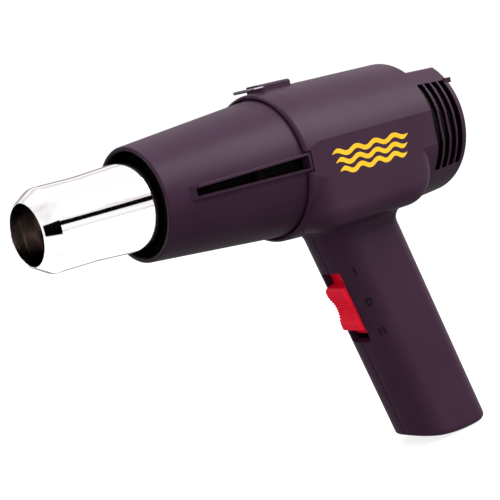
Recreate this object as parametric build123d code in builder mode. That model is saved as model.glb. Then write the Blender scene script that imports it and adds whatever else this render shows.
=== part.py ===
from build123d import *
from math import cos, radians, sin, sqrt, tan
import os

os.makedirs("parts", exist_ok=True)

# A pistol-grip electric heat gun. The barrel lies along X with the nozzle towards -X, Z is up,
# and the origin is on the barrel axis at the front end of the nozzle seat. Millimetres.

# ---- Nozzle tube ----
seat_radius = 20.0            # cylindrical seat that push-on nozzles slide over
seat_length = 22.0
tube_rear_radius = 21.7
tube_wall = 0.8
cone_length = 8.3
mouth_radius = 14.9
tube_length = 106.0           # from the seat's front end to the rear flange
tube_flange_width = 4.3
tube_flange_thickness = 1.0
tube_screw = 1.2
tube_screw_head = 1.9
tube_screw_head_height = 1.4
tube_screw_count = 3
cone_inner_start = 0.2

# ---- Front shroud ----
shroud_front = 50.2           # distance from the seat's front end to the shroud's rim
shroud_mouth_gap = 4.0        # radial gap of the recess around the tube
shroud_rear_radius = 35.4
shroud_wall = 2.3
shield_gap = 1.3              # heat shield between the tube and the shroud's slots
shield_wall = 0.7
shield_end_gap = 3.0
shroud_rim_edge = 0.9
shroud_recess_depth = 12.0    # depth of the dark annular recess round the tube
shroud_web = 2.0
web_clearance = 0.9
sleeve_radius = 33.5          # rear sleeve that the housing's ribs hold
sleeve_wall = 2.1
neck_length = 3.0             # inside the cone, just ahead of the housing, where it meets the sleeve
neck_run = 2.0
shoulder_length = 1.6
frame_length = 66.0           # raised frame of the side cooling slot, ahead of the housing
frame_overlap = 3.0           # how far the frame's end cap reaches over the housing's edge
frame_front_half = 3.2
frame_rear_half = 4.5
frame_rib = 1.3
frame_cap = 3.0
frame_proud = 1.9
frame_ramp = 5.0
frame_z = 0.4
frame_edge = 0.4
frame_root = 1.4              # how deep the frame is rooted in the shroud's wall
panel_flush = 0.1
notch_clearance = 0.6
flange_play = 0.8

# ---- Housing ----
housing_front = 128.7         # distance from the seat's front end to the housing's front edge
housing_length = 115.5
housing_radius = 38.5
housing_front_taper = 0.7     # how much less the radius is at the front edge
housing_rear_taper = 1.5      # and at the rear rim
housing_wall = 2.6
housing_lip = 2.2             # rounding of the front edge
rear_edge = 1.4               # rounding of the rear rim
rear_zone_start = 92.0        # start of the flat-topped rear zone, from the housing's front
rear_zone_drop = 8.5          # how far its flat top lies below the barrel's top
side_flat_depth = 1.1         # how deep the flat side panels are cut into the barrel
panel_top = 9.0
saddle_start = 1.5
saddle_length = 88.0
saddle_rise = 1.9             # how far the saddle's underside lies above the barrel's lowest line
saddle_corner = 11.0
saddle_rear_corner = 19.0
saddle_front_corner = 12.0
opening_gap = 1.0             # ring gap between the shroud and the housing's front edge
parting_groove = 0.25         # half width of the groove along the joint of the two shells
parting_depth = 0.7
nub_width = 2.6
nub_height = 2.8
nub_length = 1.4
nub_angle = 36.2              # above the horizontal
nub_root = 3.0
nub_sink = 0.3
rear_step_wall = 8.0
overcut = 1.0                 # how far a cut runs past the face that it opens
roof_cut = 20.0               # heights of the cuts for the rear zone, side panels and foot
panel_cut = 10.0
foot_cut = 30.0

# ---- Handle ----
grip_rake = 16.2              # degrees from vertical, bottom end towards the rear
grip_axis_x = 37.6            # where the handle's centre line meets the barrel axis
grip_depth = 49.0
grip_half_width = 16.5
grip_front_corner = 14.5
grip_rear_corner = 10.0
grip_front_bottom = 161.0     # depth of the bottom's front end, middle and rear end below the axis
grip_middle_bottom = 166.4
grip_rear_bottom = 165.4
grip_edge = 3.0
grip_blend = 9.0              # concave blend where the handle leaves the housing
grip_run_out = 20.0

# ---- Side vents ----
vent_count = 4
vent_width = 4.3
vent_rib = 1.3
vent_start = 90.6
vent_half_angle = 37.0
screen_half_angle = 39.0
screen_thickness = 0.6
screen_gap = 0.3
vent_cut = 10.0
notch_cut = 12.0

# ---- Hang ring and its boss ----
boss_front = 6.8
boss_length = 21.2
boss_half_width = 5.0
boss_height = 3.1             # above the barrel
boss_root = 15.0
boss_edge = 1.2
ring_pivot_x = 9.0
ring_pivot_depth = 1.7        # below the boss's top
ring_wire = 0.8               # wire radius
ring_half_width = 7.4
ring_reach = 9.2
ring_corner = 2.2
pivot_clearance = 0.06

# ---- Slide switch ----
slot_length = 42.6
slot_half_width = 7.0
slot_corner = 1.5
slot_drop = 83.0              # slot centre below the barrel axis
rim_depth = 5.5               # depth of the slot's inner rim from the handle's front
rim_wall = 2.0
rim_set_back = 1.9
slide_clearance = 0.3
plate_thickness = 2.0
plate_half_width = 8.2
plate_corner = 1.5
plate_below = 18.8            # the slider's plate, below and above the middle of its travel
plate_above = 25.6
thumb_length = 26.0
thumb_proud = 2.3
thumb_knob = 5.0
thumb_rib_count = 9
thumb_rib = 0.5
thumb_rib_pitch = 1.6
thumb_rib_rise = 0.1
thumb_bevel = 1.2
thumb_drop = 1.4
peg_size = 3.0
peg_length = 6.0
switch_travel = 6.5
switch_half_width = 6.5
switch_length = 36.0
switch_depth = 12.0
switch_wall = 1.2
switch_floor = 2.2
switch_corner = 1.0
peg_play = 0.5
ear_width = 6.0
ear_thickness = 2.5
ear_gap = 0.2
contact_length = 9.0
contact_thickness = 0.8
terminal_width = 4.8
terminal_thickness = 0.8
terminal_length = 6.0
terminal_tip = 0.4
terminal_slot_gap = 0.05
terminal_places = [-12, -4, 4, 12]  # up along the handle from the slot's centre

# ---- Screws ----
screw_shank = 1.5
screw_head = 3.0
screw_head_height = 2.0
screw_reach = 9.0
screw_clearance = 0.15
post_radius = 4.6
well_floor = 9.0              # distance of the heads' seat from the parting plane
well_clearance = 0.4
thread_clearance = 0.05
barrel_screw_inset = 8.0      # from the barrel's inner wall to the screws above and below the axis
barrel_screw_front = 57.5     # places of the three barrel screws behind the housing's front
barrel_screw_middle = 84.0
barrel_screw_rear = 100.0
grip_screws = [(60, 13), (126, -12), (150, 16)]  # (down the handle, towards its back)

# ---- Heater ----
heater_start = 14.0
heater_end = 92.0
sleeve_gap = 0.4
mica_wall = 0.5
mica_sleeve_tail = 2.0
mica_thickness = 1.0
mica_radius = 16.0
mica_slot_gap = 0.05
coil_wire = 0.6
coil_radius = 14.9
coil_count = 12
coil_margin = 6.0
notch_gap = 0.2
base_thickness = 4.0
base_gap = 0.3
base_holes = 6
base_hole_radius = 3.2
base_hole_circle = 12.5
cutout_radius = 4.5
cutout_height = 4.0
cutout_edge = 0.6
tab_width = 3.0
tab_length = 5.0
tab_thickness = 0.8
tab_rise = 1.0

# ---- Air duct and fan ----
duct_wall = 2.0
duct_rear_radius = 30.5
duct_cone_end = 22.0
duct_end = 42.0
duct_flange = 3.0
duct_collar = 11.4
duct_collar_width = 2.4
duct_collar_gap = 0.4
fan_radius = 29.0
fan_start = 26.0
fan_width = 13.0
fan_blades = 9
fan_blade_thickness = 1.6
fan_pitch = 48.0
fan_hub_radius = 9.0
fan_hub_edge = 2.0
blade_root = 2.0
blade_trim = 1.5
press_gap = 0.02

# ---- Motor ----
motor_radius = 17.5
motor_start = 47.0
motor_length = 36.0
motor_wall = 1.2
motor_edge = 1.0
shaft_radius = 1.6
shaft_clearance = 0.05
shaft_start = 23.0
shaft_end = 89.0
bush_radius = 4.0
bush_length = 4.0
rotor_radius = 11.0
rotor_start = 54.0
rotor_length = 20.0
rotor_slots = 5
rotor_slot_width = 2.4
rotor_slot_depth = 6.0
commutator_radius = 5.0
commutator_start = 75.5
commutator_length = 6.0
slit_depth = 0.8
slit_width = 0.5
magnet_thickness = 3.6
magnet_gap = 0.1
magnet_angle = 130.0
magnet_front_gap = 4.0
magnet_rear_gap = 10.0
brush_gap = 0.1
brush_place = 3.2             # behind the commutator's front end
brush_width = 4.0
brush_height = 3.4
brush_can_gap = 2.2
bell_thickness = 4.0
bell_spigot = 3.0
bell_spigot_wall = 2.0
bell_window_place = 11.0
bell_window_width = 9.0
bell_window_height = 4.5
bell_window_corner = 1.0
damper_thickness = 1.8
damper_width = 4.0
rib_start_front = 49.0
rib_start_rear = 74.0
rib_width = 2.4
rib_gap = 0.1
rib_play = 0.2
rib_root = 0.8
air_hole_radius = 4.2
air_hole_circle = 28.0
air_hole_count = 10
board_start = 89.8
board_radius = 13.0
board_thickness = 1.6
board_leg_place = 11.0
board_leg_thickness = 1.0
board_leg_width = 3.0
diode_radius = 1.4
diode_length = 5.0
diode_count = 4
diode_pitch = 4.0

# ---- Cord entry and wiring ----
gland_radius = 8.0
gland_flange_radius = 10.5
gland_flange = 2.5
gland_bore = 4.1
gland_length = 16.0
gland_gap = 0.15
gland_end = 169.5             # outer end, measured down the handle's centre line
clamp_place = 140.0
clamp_length = 25.0
clamp_width = 8.0
clamp_thickness = 3.0
clamp_spread = 9.0
clamp_post = 3.2
clamp_screw = 1.2
clamp_screw_head = 2.2
clamp_screw_head_height = 1.4
clamp_screw_reach = 7.0
clamp_hole_depth = 8.0
clamp_corner = 1.5
foot_bore = 30.0
lead_radius = 0.9
lead_half_gap = 1.4
lead_bend = 2.4
lead_turn_x = 184.0
lead_knee = 52.0
lead_foot = 100.0
lead_rise = 10.0
lead_tail = 6.0
lead_gap = 0.1
lead_overlap = 1.0            # how far a lead runs on past its terminal's middle

# ---- Values that follow from the ones above ----
housing_rear = housing_front + housing_length
housing_front_radius = housing_radius - housing_front_taper
housing_rear_radius = housing_radius - housing_rear_taper
cavity_radius = housing_radius - housing_wall
panel_half_width = housing_radius - side_flat_depth
rear_zone_top = housing_radius - rear_zone_drop
rear_zone_length = housing_length - rear_zone_start
rear_zone_middle = housing_rear - rear_zone_length / 2
saddle_bottom = saddle_rise - housing_radius
boss_top = housing_radius + boss_height
ring_pivot_z = boss_top - ring_pivot_depth
nub_y = (housing_rear_radius - nub_sink) * cos(radians(nub_angle))
nub_z = (housing_rear_radius - nub_sink) * sin(radians(nub_angle))
tube_flange_radius = tube_rear_radius + tube_flange_width
shroud_front_radius = tube_rear_radius + shroud_mouth_gap + shroud_wall
slope = radians(grip_rake)
down = Vector(sin(slope), 0, -cos(slope))
aft = Vector(cos(slope), 0, sin(slope))
grip_top = Vector(housing_front + grip_axis_x, 0, 0)
front_line_x = grip_top.X + slot_drop * tan(slope) - grip_depth / 2 / cos(slope)
flange_circle = (tube_rear_radius + tube_flange_radius) / 2
# Handle plane: Z runs down the handle's centre line and X towards the handle's back.
grip_plane = Plane(origin=grip_top, x_dir=aft, z_dir=down)
# Switch plane: on the handle's front line, Z points out of the handle and X up along it.
switch_plane = Plane(origin=(front_line_x, 0, -slot_drop), x_dir=-down, z_dir=-aft)
half_run = grip_depth / 2 / cos(slope)
slot_along = slot_drop / cos(slope) - grip_depth / 2 * tan(slope)
screw_row = cavity_radius - barrel_screw_inset
barrel_screws = [
    (barrel_screw_front, screw_row),
    (barrel_screw_middle, screw_row),
    (barrel_screw_rear, -screw_row),
]


def grip_point(along, across):
    """A point on the middle plane, given down the handle's centre line and towards its back."""
    return grip_top + down * along + aft * across


def shroud_radius(x):
    """Outer radius of the shroud's cone at a place along the barrel."""
    share = (x - shroud_front) / (housing_front - shroud_front)
    return shroud_front_radius + (shroud_rear_radius - shroud_front_radius) * share


def ring(start, length, inner, outer):
    """A plain ring about the barrel axis."""
    with BuildPart() as band:
        with BuildSketch(Plane.YZ.offset(start)):
            Circle(outer)
            if inner > 0:
                Circle(inner, mode=Mode.SUBTRACT)
        extrude(amount=length)
    return band.part


def turned(points):
    """A solid turned about the barrel axis from (x, radius) points."""
    with BuildPart() as lathe:
        with BuildSketch(Plane.XZ):
            with BuildLine():
                Polyline(*points, close=True)
            make_face()
        revolve(axis=Axis.X)
    return lathe.part


def rod(start, direction, length, radius):
    """A round bar from a point along a direction."""
    with BuildPart() as bar:
        with BuildSketch(Plane(origin=start, z_dir=direction)):
            Circle(radius)
        extrude(amount=length)
    return bar.part


def casing(inset, blended):
    """The outer form of housing and handle, shrunk by an inset."""
    base = saddle_bottom + inset
    half = grip_half_width - inset
    front = -grip_depth / 2 + inset
    back = grip_depth / 2 - inset
    with BuildPart() as form:
        # Saddle under the barrel, with its flat sides.
        with BuildSketch(Plane.XY.offset(base)):
            with Locations((housing_front + (saddle_start + saddle_length) / 2, 0)):
                Rectangle(saddle_length - saddle_start - 2 * inset, 2 * (panel_half_width - inset))
        extrude(amount=panel_top - base)
        rear_bottom = form.edges().filter_by(Axis.Y).group_by(Axis.Z)[0].sort_by(Axis.X)[-1]
        fillet(rear_bottom, saddle_rear_corner - inset)
        fillet(form.edges().filter_by(Axis.Z).group_by(Axis.X)[0], saddle_front_corner - inset)
        sides = form.faces().sort_by(Axis.Z)[0].edges() + form.edges().filter_by(GeomType.CIRCLE)
        rear = housing_front + saddle_length - overcut
        low = [e for e in sides if e.center().Z < panel_top - overcut and e.center().X < rear]
        straight_end = rear - inset - saddle_rear_corner
        low = [e for e in low if e.geom_type != GeomType.LINE or e.center().X <= straight_end]
        fillet(ShapeList(dict.fromkeys(low)), saddle_corner - inset)
        # Handle, run down past its bottom end.
        with BuildSketch(grip_plane.offset(saddle_corner - 1)) as cross_section:
            with BuildLine():
                Polyline((front, -half), (back, -half), (back, half), (front, half), close=True)
            make_face()
            fillet(cross_section.vertices().sort_by(Axis.X)[:2], grip_front_corner - inset)
            fillet(cross_section.vertices().sort_by(Axis.X)[-2:], grip_rear_corner - inset)
        extrude(amount=grip_middle_bottom + grip_run_out)
        if blended:
            roots = [
                e for e in form.edges()
                if abs(e.center().Z - base) < 1.5 and e.bounding_box().size.Z < 1.5
                and abs(e.center().Y) <= half + 0.5 and e.length < 30
            ]
            fillet(roots, grip_blend)
        # Foot of the handle, cut to a shallow curve.
        front_x = grip_top.X + grip_front_bottom * tan(slope) - half_run
        rear_x = grip_top.X + grip_rear_bottom * tan(slope) + half_run
        foot_front = Vector(front_x, inset - grip_front_bottom)
        foot_rear = Vector(rear_x, inset - grip_rear_bottom)
        foot_lowest = Vector((front_x + rear_x) / 2, inset - grip_middle_bottom)
        with BuildSketch(Plane.XZ):
            with BuildLine():
                ThreePointArc(foot_front, foot_lowest, foot_rear)
                Polyline(
                    foot_rear,
                    foot_rear + Vector(foot_cut, 0),
                    foot_rear + Vector(foot_cut, -2 * foot_cut),
                    foot_front + Vector(-foot_cut, -2 * foot_cut),
                    foot_front + Vector(-foot_cut, 0),
                    foot_front,
                )
            make_face()
        extrude(amount=grip_half_width + overcut, both=True, mode=Mode.SUBTRACT)
        if blended:
            foot = [e for e in form.edges() if e.bounding_box().max.Z < 2 * grip_edge - grip_front_bottom]
            fillet(foot, grip_edge)
        # Barrel.
        add(turned([
            (housing_front + max(inset, 0), 0),
            (housing_front + max(inset, 0), housing_front_radius - inset),
            (housing_front + saddle_corner, housing_radius - inset),
            (housing_front + rear_zone_start, housing_radius - inset),
            (housing_rear - inset, housing_rear_radius - inset),
            (housing_rear - inset, 0),
        ]))
        if blended:
            # Flat side panels, crisp along their upper edges.
            for side in (-1, 1):
                panel_y = side * (panel_half_width + panel_cut / 2)
                with Locations((housing_front + housing_length / 2, panel_y, panel_top - housing_radius)):
                    Box(housing_length, panel_cut, 2 * housing_radius, mode=Mode.SUBTRACT)
    return form.part


def dressed_casing():
    """The outer form with its rounded rims, flat-topped rear, ring boss and rear nubs."""
    with BuildPart() as form:
        add(casing(0, True))
        with Locations((rear_zone_middle + overcut, 0, rear_zone_top + roof_cut / 2)):
            Box(rear_zone_length + 2 * overcut, 2 * housing_radius, roof_cut, mode=Mode.SUBTRACT)
        fillet(form.edges().group_by(Axis.X)[0], housing_lip)
        fillet(form.edges().group_by(Axis.X)[-1], rear_edge)
        # Boss of the hang ring.
        with BuildSketch(Plane.YZ.offset(housing_front + boss_front)):
            with BuildLine():
                Polyline(
                    (-boss_half_width, boss_top - boss_root),
                    (-boss_half_width, boss_top),
                    (boss_half_width, boss_top),
                    (boss_half_width, boss_top - boss_root),
                    close=True,
                )
            make_face()
        extrude(amount=boss_length)
        rim = form.edges().filter_by(lambda e: e.center().Z > boss_top - 0.1)
        fillet(rim.filter_by(Axis.X) + rim.filter_by(Axis.Y).sort_by(Axis.X)[-1:], boss_edge)
        # Nubs on the rear rim.
        with BuildSketch(Plane.YZ.offset(housing_rear - nub_root)):
            with Locations((-nub_y, nub_z), (nub_y, nub_z)):
                Rectangle(nub_width, nub_height)
        extrude(amount=nub_root + nub_length)
    return form.part


def screw_places():
    """Places of the housing screws on the middle plane."""
    places = [Vector(housing_front + x, 0, z) for x, z in barrel_screws]
    return places + [grip_point(along, across) for along, across in grip_screws]


def posts(places, radius, limit):
    """Posts across the whole housing, trimmed to its outer form."""
    with BuildPart() as rods:
        for place in places:
            add(rod(place + Vector(0, -housing_radius, 0), (0, 1, 0), 2 * housing_radius, radius))
        add(limit, mode=Mode.INTERSECT)
    return rods.part


def holes(places, start, end, radius):
    """Round holes along Y between two distances from the parting plane."""
    return [rod(p + Vector(0, start, 0), (0, 1, 0), end - start, radius) for p in places]


def parting_slab():
    """The shallow groove that shows where the two shells meet."""
    outline = section(outer_form, section_by=Plane.XZ)
    with BuildPart() as slab:
        with BuildSketch(Plane.XZ):
            add(outline)
            offset(outline.face(), amount=-parting_depth, mode=Mode.SUBTRACT)
        extrude(amount=parting_groove, both=True)
    return slab.part


# ---- Housing shells ----
outer_form = dressed_casing()
cavity_form = casing(housing_wall, False)
rib_reach = cavity_radius + rib_root
sleeve_bore = sleeve_radius + slide_clearance
damper_radius = motor_radius + damper_thickness
collar_front = duct_collar - slide_clearance
collar_rear = duct_collar + duct_collar_width + slide_clearance
opening_depth = frame_overlap + notch_clearance
flange_front = opening_depth + rib_width - rib_play
flange_rear = flange_front + rib_width
vent_span = vent_count * vent_width + (vent_count - 1) * vent_rib

with BuildPart() as rear_roof:
    # The roof of the flat-topped rear zone and the step in front of it.
    with Locations((rear_zone_middle, 0, rear_zone_top - housing_wall / 2)):
        Box(rear_zone_length - overcut, 2 * housing_radius, housing_wall)
    with Locations((housing_front + rear_zone_start - housing_wall / 2, 0, rear_zone_top + rear_step_wall / 4)):
        Box(housing_wall, 2 * housing_radius, rear_step_wall)
    add(ring(housing_front, housing_length, 0, rib_reach), mode=Mode.INTERSECT)

with BuildPart() as hollow:
    # Everything that the two shells share: walls, ribs, posts, vents and openings.
    add(outer_form)
    add(cavity_form, mode=Mode.SUBTRACT)
    add(rear_roof.part)
    # Front opening, and the notches that the shroud's slot frames reach through.
    mouth = ring(housing_front - overcut, opening_depth + overcut, 0, shroud_rear_radius + opening_gap)
    add(mouth, mode=Mode.SUBTRACT)
    for side in (-1, 1):
        notch_height = 2 * (frame_rear_half + notch_clearance)
        with Locations((housing_front + opening_depth / 2 - overcut, side * housing_radius, frame_z)):
            Box(opening_depth + 2 * overcut, notch_cut, notch_height, mode=Mode.SUBTRACT)
    # Ring ribs that hold the shroud's sleeve, the duct's collar and the motor's dampers.
    add(ring(housing_front + opening_depth, flange_front - opening_depth - rib_play, sleeve_bore, rib_reach))
    rear_seat = flange_rear + rib_play
    add(ring(housing_front + rear_seat, collar_front - rear_seat, sleeve_bore, rib_reach))
    add(ring(housing_front + collar_rear, rib_width, sleeve_bore, rib_reach))
    for start in (rib_start_front, rib_start_rear):
        add(ring(housing_front + start, rib_width, damper_radius + rib_gap, rib_reach))
        with BuildSketch(Plane.YZ.offset(housing_front + start - overcut)):
            with PolarLocations(air_hole_circle, air_hole_count, start_angle=18):
                Circle(air_hole_radius)
        extrude(amount=rib_width + 2 * overcut, mode=Mode.SUBTRACT)
    # Screw posts.
    add(posts(screw_places(), post_radius, outer_form))
    # Rim of the switch slot, and the slot through it.
    with BuildSketch(switch_plane.offset(-rim_depth)):
        RectangleRounded(slot_length + 2 * rim_wall, 2 * (slot_half_width + rim_wall), slot_corner)
    extrude(amount=rim_depth - rim_set_back)
    with BuildSketch(switch_plane.offset(-rim_depth - overcut)):
        RectangleRounded(slot_length, 2 * slot_half_width, slot_corner)
    extrude(amount=2 * rim_depth, mode=Mode.SUBTRACT)
    # Side vents.
    for index in range(vent_count):
        left = housing_front + vent_start + index * (vent_width + vent_rib)
        for side in (-1, 1):
            tilt = Plane.XY.rotated((side * vent_half_angle, 0, 0))
            with BuildSketch(tilt):
                with Locations((left + vent_width / 2, side * (cavity_radius + vent_cut / 2 - 2 * overcut))):
                    Rectangle(vent_width, vent_cut)
            revolve(axis=Axis.X, revolution_arc=-side * 2 * vent_half_angle, mode=Mode.SUBTRACT)
    # Cord gland's hole through the handle's foot.
    foot_hole = rod(grip_point(gland_end - foot_bore / 2, 0), down, foot_bore, gland_radius + gland_gap)
    add(foot_hole, mode=Mode.SUBTRACT)
    # Bore for the hang ring's pivot.
    pivot = Vector(housing_front + ring_pivot_x, -2 * ring_half_width, ring_pivot_z)
    add(rod(pivot, (0, 1, 0), 4 * ring_half_width, ring_wire + pivot_clearance), mode=Mode.SUBTRACT)
    # Groove along the joint of the shells.
    add(parting_slab(), mode=Mode.SUBTRACT)

with BuildPart() as left_housing_shell:
    add(hollow.part)
    split(bisect_by=Plane.XZ, keep=Keep.TOP)
    for hole in holes(screw_places(), -screw_reach - 2 * overcut, 0, screw_shank + screw_clearance):
        add(hole, mode=Mode.SUBTRACT)
    # Posts of the cord clamp.
    for across in (-clamp_spread, clamp_spread):
        foot = grip_point(clamp_place, across) + Vector(0, overcut - grip_half_width, 0)
        top = grip_point(clamp_place, across) + Vector(0, gland_bore - clamp_hole_depth, 0)
        add(rod(foot, (0, 1, 0), grip_half_width - overcut + gland_bore, clamp_post))
        clamp_hole = rod(top, (0, 1, 0), clamp_hole_depth + overcut, clamp_screw + thread_clearance)
        add(clamp_hole, mode=Mode.SUBTRACT)
left_housing_shell.part.label = "left_housing_shell"
export_step(left_housing_shell.part, "parts/left_housing_shell.step")

with BuildPart() as right_housing_shell:
    add(hollow.part)
    split(bisect_by=Plane.XZ, keep=Keep.BOTTOM)
    for hole in holes(screw_places(), -overcut, well_floor + overcut, screw_shank + screw_clearance):
        add(hole, mode=Mode.SUBTRACT)
    for well in holes(screw_places(), well_floor, housing_radius + overcut, screw_head + well_clearance):
        add(well, mode=Mode.SUBTRACT)
right_housing_shell.part.label = "right_housing_shell"
export_step(right_housing_shell.part, "parts/right_housing_shell.step")

# ---- Front shroud ----
web_start = shroud_front + shroud_recess_depth
inner_start = web_start + shroud_web
shoulder = housing_front + shoulder_length
neck = housing_front - neck_length
shroud_bore = tube_rear_radius + web_clearance
sleeve_inner = sleeve_radius - sleeve_wall
flange_start = housing_front + flange_front + rib_play / 2
flange_end = housing_front + flange_rear - rib_play / 2
frame_start = housing_front - frame_length
frame_end = housing_front + frame_overlap


def frame_prism(margin, start, end, reach):
    """The slot frame's outline in side view, grown or shrunk by a margin, as a prism on both sides."""
    with BuildPart() as prism:
        with BuildSketch(Plane.XZ):
            with BuildLine():
                Polyline(
                    (start, frame_z - frame_front_half - margin),
                    (end, frame_z - frame_rear_half - margin),
                    (end, frame_z + frame_rear_half + margin),
                    (start, frame_z + frame_front_half + margin),
                    close=True,
                )
            make_face()
        extrude(amount=reach, both=True)
    return prism.part


with BuildPart() as slot_frames:
    # Raised frames, a little proud of the cone and ramped at their front ends.
    add(frame_prism(0, frame_start, frame_end, housing_radius))
    add(turned([
        (frame_start, shroud_radius(frame_start) - frame_root),
        (frame_start, shroud_radius(frame_start)),
        (frame_start + frame_ramp, shroud_radius(frame_start + frame_ramp) + frame_proud),
        (frame_end, panel_half_width - panel_flush),
        (frame_end, shroud_rear_radius - frame_root),
        (shoulder, shroud_rear_radius - frame_root),
    ]), mode=Mode.INTERSECT)
    long_edges = slot_frames.edges().filter_by(lambda e: e.length > frame_length / 2)
    tops = long_edges.filter_by(lambda e: abs(e.center().Y) > shroud_radius(e.center().X) + overcut)
    fillet(tops, frame_edge)

slot = frame_prism(-frame_rib, frame_start + frame_cap, frame_end - frame_rib, 2 * housing_radius)
with BuildPart() as slot_cut:
    # What is cut away inside the two frames, down to the web's bore.
    add(slot)
    with Locations((frame_start, 0, 0)):
        Box(2 * frame_length, 2 * shroud_bore, 2 * housing_radius, mode=Mode.SUBTRACT)

with BuildPart() as front_shroud:
    add(turned([
        (shroud_front, tube_rear_radius + shroud_mouth_gap),
        (shroud_front, shroud_front_radius),
        (shoulder, shroud_rear_radius),
        (shoulder, sleeve_radius),
        (flange_start, sleeve_radius),
        (flange_start, cavity_radius - flange_play),
        (flange_end, cavity_radius - flange_play),
        (flange_end, sleeve_inner),
        (neck + neck_run, sleeve_inner),
        (neck, shroud_radius(neck) - shroud_wall),
        (inner_start, shroud_radius(inner_start) - shroud_wall),
        (inner_start, shroud_bore),
        (web_start, shroud_bore),
        (web_start, tube_rear_radius + shroud_mouth_gap),
    ]))
    fillet(front_shroud.edges().group_by(Axis.X)[0], shroud_rim_edge)
    add(slot_frames.part)
    add(slot_cut.part, mode=Mode.SUBTRACT)
front_shroud.part.label = "front_shroud"
export_step(front_shroud.part, "parts/front_shroud.step")

# ---- Heat shield ----
shield_radius = tube_rear_radius + shield_gap
with BuildPart() as heat_shield:
    # Blackened sleeve around the tube, seen through the shroud's slots.
    shield_length = tube_length - shield_end_gap - inner_start
    add(ring(inner_start, shield_length, shield_radius, shield_radius + shield_wall))
heat_shield.part.label = "heat_shield"
export_step(heat_shield.part, "parts/heat_shield.step")

# ---- Nozzle tube ----
with BuildPart() as nozzle_tube:
    # Spun steel: tapered mouth, straight seat, slightly flared rear and a flange that is screwed down.
    add(turned([
        (-cone_length, mouth_radius - tube_wall),
        (-cone_length, mouth_radius),
        (0, seat_radius),
        (seat_length, seat_radius),
        (shroud_front, tube_rear_radius),
        (tube_length - tube_flange_thickness, tube_rear_radius),
        (tube_length - tube_flange_thickness, tube_flange_radius),
        (tube_length, tube_flange_radius),
        (tube_length, tube_rear_radius - tube_wall),
        (shroud_front, tube_rear_radius - tube_wall),
        (seat_length, seat_radius - tube_wall),
        (cone_inner_start, seat_radius - tube_wall),
    ]))
    with BuildSketch(Plane.YZ.offset(tube_length - tube_flange_thickness - overcut)):
        with PolarLocations(flange_circle, tube_screw_count, start_angle=90):
            Circle(tube_screw + screw_clearance)
    extrude(amount=tube_flange_thickness + 2 * overcut, mode=Mode.SUBTRACT)
nozzle_tube.part.label = "nozzle_tube"
export_step(nozzle_tube.part, "parts/nozzle_tube.step")

# ---- Heater ----
sleeve_outer = seat_radius - tube_wall - sleeve_gap
with BuildPart() as mica_sleeve:
    mica_length = heater_end + base_thickness + mica_sleeve_tail - heater_start
    add(ring(heater_start, mica_length, sleeve_outer - mica_wall, sleeve_outer))
mica_sleeve.part.label = "mica_sleeve"
export_step(mica_sleeve.part, "parts/mica_sleeve.step")

coil_pitch = (heater_end - heater_start - 2 * coil_margin) / (coil_count - 1)
coil_places = [heater_start + coil_margin + index * coil_pitch for index in range(coil_count)]
plate_middle = (heater_start + heater_end) / 2


def mica_plate(plane, slot_start, slot_end):
    """A notched mica plate lying in the barrel axis, slotted half way to cross its twin."""
    with BuildPart() as plate:
        with BuildSketch(plane.offset(-mica_thickness / 2)):
            with Locations((plate_middle, 0)):
                Rectangle(heater_end - heater_start, 2 * mica_radius)
            for place in coil_places:
                with Locations((place, mica_radius), (place, -mica_radius)):
                    Rectangle(
                        2 * (coil_wire + notch_gap),
                        2 * (mica_radius - coil_radius + coil_wire + notch_gap),
                        mode=Mode.SUBTRACT,
                    )
            with Locations(((slot_start + slot_end) / 2, 0)):
                Rectangle(slot_end - slot_start, mica_thickness + 2 * mica_slot_gap, mode=Mode.SUBTRACT)
        extrude(amount=mica_thickness)
    return plate.part


with BuildPart() as mica_plate_flat:
    add(mica_plate(Plane.XY, heater_start - overcut, plate_middle + mica_slot_gap))
mica_plate_flat.part.label = "mica_plate_flat"
export_step(mica_plate_flat.part, "parts/mica_plate_flat.step")

with BuildPart() as mica_plate_upright:
    add(mica_plate(Plane.XZ, plate_middle - mica_slot_gap, heater_end + overcut))
mica_plate_upright.part.label = "mica_plate_upright"
export_step(mica_plate_upright.part, "parts/mica_plate_upright.step")

with BuildPart() as heater_coils:
    # Turns of resistance wire seated in the plates' notches.
    for place in coil_places:
        with BuildSketch(Plane.XY):
            with Locations((place, coil_radius)):
                Circle(coil_wire)
        revolve(axis=Axis.X)
heater_coils.part.label = "heater_coils"
export_step(heater_coils.part, "parts/heater_coils.step")

with BuildPart() as heater_base:
    # Pierced ceramic disc that carries the plates and lets the air through.
    with BuildSketch(Plane.YZ.offset(heater_end)):
        Circle(sleeve_outer - mica_wall - base_gap)
        with PolarLocations(base_hole_circle, base_holes, start_angle=30):
            Circle(base_hole_radius, mode=Mode.SUBTRACT)
    extrude(amount=base_thickness)
heater_base.part.label = "heater_base"
export_step(heater_base.part, "parts/heater_base.step")

with BuildPart() as thermal_cutout:
    # Bimetal cut-out standing on the middle of the base.
    with BuildSketch(Plane.YZ.offset(heater_end + base_thickness)):
        Circle(cutout_radius)
    extrude(amount=cutout_height)
    fillet(thermal_cutout.edges().group_by(Axis.X)[-1], cutout_edge)
    tab_place = cutout_radius + tab_length / 2 - tab_rise
    with BuildSketch(Plane.YZ.offset(heater_end + base_thickness + tab_rise)):
        with Locations((0, tab_place), (0, -tab_place)):
            Rectangle(tab_width, tab_length)
    extrude(amount=tab_thickness)
thermal_cutout.part.label = "thermal_cutout"
export_step(thermal_cutout.part, "parts/thermal_cutout.step")

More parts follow.
